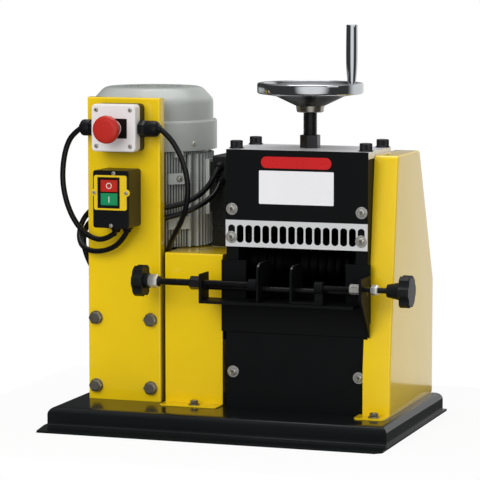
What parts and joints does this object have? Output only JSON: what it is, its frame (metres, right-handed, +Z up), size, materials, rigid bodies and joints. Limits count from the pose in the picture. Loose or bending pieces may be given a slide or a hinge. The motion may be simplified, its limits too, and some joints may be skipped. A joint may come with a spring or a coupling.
{
  "type": "bench wire stripping machine",
  "caption": "Motor-driven bench wire stripper: a slotted head with grooved rollers and disc blades, a pressure handwheel, two cable guides, switches on a tower and a vertical motor.",
  "frame": {"origin": "centre of the four bench bolt holes, on the bench", "axes": "+X to the right seen from the operator, +Y to the back, +Z up"},
  "size_m": [0.546, 0.364, 0.5775],
  "materials": {
    "black_powder_coat": "gloss powder coat",
    "yellow_powder_coat": "gloss powder coat",
    "bright_steel": "ground",
    "zinc_steel": "zinc plated",
    "black_oxide_steel": "black oxide",
    "tool_steel": "ground and hardened",
    "bronze": "machined",
    "cast_grey": "painted",
    "grey_aluminium": "satin paint",
    "black_plastic": "moulded",
    "ivory_plastic": "moulded",
    "yellow_plastic": "moulded",
    "red_plastic": "moulded",
    "green_plastic": "moulded",
    "chrome": "polished",
    "black_rubber": "extruded"
  },
  "bodies": {
    "frame": {"base_tray": "black_powder_coat", "cable_estop_base": "black_rubber", "cable_estop_switch": "black_rubber", "cable_glands": "black_rubber", "cable_motor_base": "black_rubber", "cable_switch_motor": "black_rubber", "coupling_cover": "yellow_powder_coat", "estop_base": "black_plastic", "estop_cover": "ivory_plastic", "fan_cowl": "grey_aluminium", "frame_bushes": "bronze", "front_cover": "black_powder_coat", "front_screws": "zinc_steel", "gear_cover": "yellow_powder_coat", "guide_carrier": "black_powder_coat", "guide_rod": "bright_steel", "guide_shelf": "black_powder_coat", "left_cheek": "black_oxide_steel", "lower_front_panel": "black_powder_coat", "motor_body": "grey_aluminium", "rear_cover": "black_powder_coat", "reducer_housing": "cast_grey", "reducer_stand": "black_oxide_steel", "right_cheek": "black_oxide_steel", "screw_bush": "black_oxide_steel", "slotted_plate": "bright_steel", "switch_box": "black_plastic", "switch_faceplate": "yellow_plastic", "terminal_box": "black_plastic", "thread_nuts": "zinc_steel", "top_plate": "bright_steel", "top_plate_screws": "black_oxide_steel", "tower_bolts": "zinc_steel", "tower_panel": "yellow_powder_coat"},
    "blade_block": {"blade_block": "black_oxide_steel"},
    "blade_shaft": {"blade_shaft": "bright_steel", "slitting_blades": "tool_steel", "blade_gear": "tool_steel"},
    "feed_shaft": {"feed_shaft": "bright_steel", "feed_rollers": "tool_steel", "feed_gear": "tool_steel"},
    "idler_gear": {"idler_gear": "tool_steel"},
    "drive_shaft": {"drive_shaft": "bright_steel", "drive_gear": "tool_steel", "worm_wheel": "bronze"},
    "motor_rotor": {"motor_shaft": "bright_steel", "cooling_fan": "black_plastic"},
    "handwheel": {"pressure_screw": "black_oxide_steel", "handwheel": "chrome"},
    "crank_grip": {"crank_grip": "black_plastic"},
    "left_guide": {"left_guide": "black_oxide_steel"},
    "left_knob": {"left_screw": "black_oxide_steel", "left_knob": "black_plastic"},
    "right_guide": {"right_guide": "black_oxide_steel"},
    "right_knob": {"right_screw": "zinc_steel", "right_knob": "black_plastic"},
    "estop_button": {"estop_button": "red_plastic"},
    "start_button": {"start_button": "green_plastic"},
    "stop_button": {"stop_button": "red_plastic"}
  },
  "joints": [
    {"name": "blade_lift", "type": "slide", "parent": "frame", "child": "blade_block", "axis": [0, 0, 1], "range_m": [-0.0035, 0.0025]},
    {"name": "handwheel_turn", "type": "hinge", "parent": "blade_block", "child": "handwheel", "pos_m": [0.0965, -0.01, 0.452], "axis": [0, 0, 1], "range_deg": [-504, 360]},
    {"name": "grip_spin", "type": "hinge", "parent": "handwheel", "child": "crank_grip", "pos_m": [0.1616, -0.022, 0.536], "axis": [0, 0, 1], "continuous": true},
    {"name": "motor_spin", "type": "hinge", "parent": "frame", "child": "motor_rotor", "pos_m": [-0.167, 0.053, 0.32], "axis": [0, 0, 1], "continuous": true},
    {"name": "drive_spin", "type": "hinge", "parent": "frame", "child": "drive_shaft", "pos_m": [0, -0.01, 0.13], "axis": [1, 0, 0], "continuous": true},
    {"name": "idler_spin", "type": "hinge", "parent": "frame", "child": "idler_gear", "pos_m": [0.216, 0.02916, 0.181], "axis": [1, 0, 0], "continuous": true},
    {"name": "feed_spin", "type": "hinge", "parent": "frame", "child": "feed_shaft", "pos_m": [0.0965, -0.01, 0.232], "axis": [1, 0, 0], "continuous": true},
    {"name": "blade_spin", "type": "hinge", "parent": "blade_block", "child": "blade_shaft", "pos_m": [0.0965, -0.01, 0.2998], "axis": [1, 0, 0], "continuous": true},
    {"name": "left_guide_slide", "type": "slide", "parent": "frame", "child": "left_guide", "axis": [1, 0, 0], "range_m": [-0.016, 0.02]},
    {"name": "left_knob_turn", "type": "hinge", "parent": "left_guide", "child": "left_knob", "pos_m": [-0.13, -0.108, 0.212], "axis": [1, 0, 0], "range_deg": [-2880, 3600]},
    {"name": "right_guide_slide", "type": "slide", "parent": "frame", "child": "right_guide", "axis": [1, 0, 0], "range_m": [-0.008, 0.02]},
    {"name": "right_knob_turn", "type": "hinge", "parent": "right_guide", "child": "right_knob", "pos_m": [0.27, -0.108, 0.212], "axis": [1, 0, 0], "range_deg": [-1440, 3600]},
    {"name": "estop_press", "type": "slide", "parent": "frame", "child": "estop_button", "axis": [0, 1, 0], "range_m": [0, 0.004]},
    {"name": "start_press", "type": "slide", "parent": "frame", "child": "start_button", "axis": [0, 1, 0], "range_m": [0, 0.003], "stiffness_N_per_m": 600},
    {"name": "stop_press", "type": "slide", "parent": "frame", "child": "stop_button", "axis": [0, 1, 0], "range_m": [0, 0.003], "stiffness_N_per_m": 600}
  ],
  "couplings": [
    {"joint": "blade_lift", "follows": "handwheel_turn", "m_per_rad": 0.00039789},
    {"joint": "drive_spin", "follows": "motor_spin", "ratio": -0.033333},
    {"joint": "idler_spin", "follows": "motor_spin", "ratio": 0.033333},
    {"joint": "feed_spin", "follows": "motor_spin", "ratio": -0.033333},
    {"joint": "blade_spin", "follows": "motor_spin", "ratio": 0.033333},
    {"joint": "left_knob_turn", "follows": "left_guide_slide", "rad_per_m": 3141.6},
    {"joint": "right_knob_turn", "follows": "right_guide_slide", "rad_per_m": 3141.6}
  ]
}
